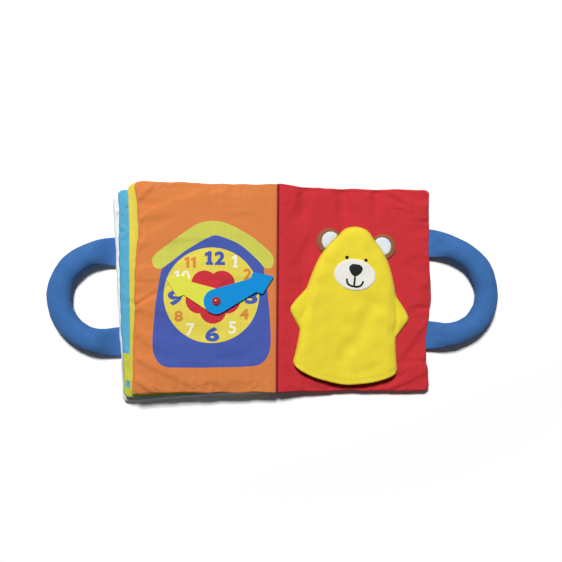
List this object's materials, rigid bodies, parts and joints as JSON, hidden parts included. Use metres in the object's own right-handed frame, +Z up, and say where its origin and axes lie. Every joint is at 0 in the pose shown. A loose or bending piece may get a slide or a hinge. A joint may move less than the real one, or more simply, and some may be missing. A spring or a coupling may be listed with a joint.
{
  "type": "soft baby activity book",
  "caption": "Padded cloth book lying open, with stuffed loop handles, a play clock whose hands turn on a rivet, and a bear hand puppet sewn to the facing page.",
  "frame": {"origin": "middle of the underside of the open book, under the spine seam, on the table", "axes": "+X across the open book to the puppet's side, +Y up the pages to their head, +Z up from the table"},
  "size_m": [0.48, 0.216, 0.0352],
  "materials": {
    "white_cloth": "plain woven cotton blend over padding",
    "red_cloth": "plain woven cotton blend over padding",
    "printed_cloth": "plain woven cotton blend, printed, over padding",
    "seam_cloth": "rolled and stitched seam of woven cloth",
    "blue_fleece": "short-pile knitted plush",
    "yellow_fleece": "short-pile fleece",
    "brown_fleece": "short-pile fleece",
    "white_fleece": "short-pile fleece",
    "black_thread": "satin-stitched embroidery thread",
    "blue_plastic": "moulded, smooth",
    "lime_plastic": "moulded, smooth",
    "red_plastic": "moulded, smooth"
  },
  "bodies": {
    "front_cover": {"front_cover": "white_cloth", "front_handle": "blue_fleece", "spine_seam": "seam_cloth"},
    "pages": {"pages": "printed_cloth", "rivet_cap": "red_plastic", "rivet_plate": "red_plastic"},
    "hour_hand": {"hour_hand": "lime_plastic"},
    "minute_hand": {"minute_hand": "blue_plastic"},
    "back_cover": {"back_cover": "red_cloth", "back_handle": "blue_fleece", "puppet_back_panel": "yellow_fleece", "puppet_front_panel": "yellow_fleece", "left_ear": "brown_fleece", "right_ear": "brown_fleece", "left_ear_lining": "white_fleece", "right_ear_lining": "white_fleece", "muzzle_patch": "white_fleece", "stitched_nose": "black_thread", "stitched_eyes": "black_thread", "stitched_smile": "black_thread"}
  },
  "joints": [
    {"name": "pages_turn", "type": "hinge", "parent": "front_cover", "child": "pages", "pos_m": [0, 0, 0.022], "axis": [0, 1, 0], "range_deg": [0, 155]},
    {"name": "back_cover_turn", "type": "hinge", "parent": "front_cover", "child": "back_cover", "pos_m": [0, 0, 0.022], "axis": [0, -1, 0], "range_deg": [0, 155]},
    {"name": "hour_hand_turn", "type": "hinge", "parent": "pages", "child": "hour_hand", "pos_m": [-0.064, -0.013, 0.02824], "axis": [0.0971, 0, 0.9953], "continuous": true},
    {"name": "minute_hand_turn", "type": "hinge", "parent": "pages", "child": "minute_hand", "pos_m": [-0.064, -0.013, 0.02824], "axis": [0.0971, 0, 0.9953], "continuous": true}
  ]
}
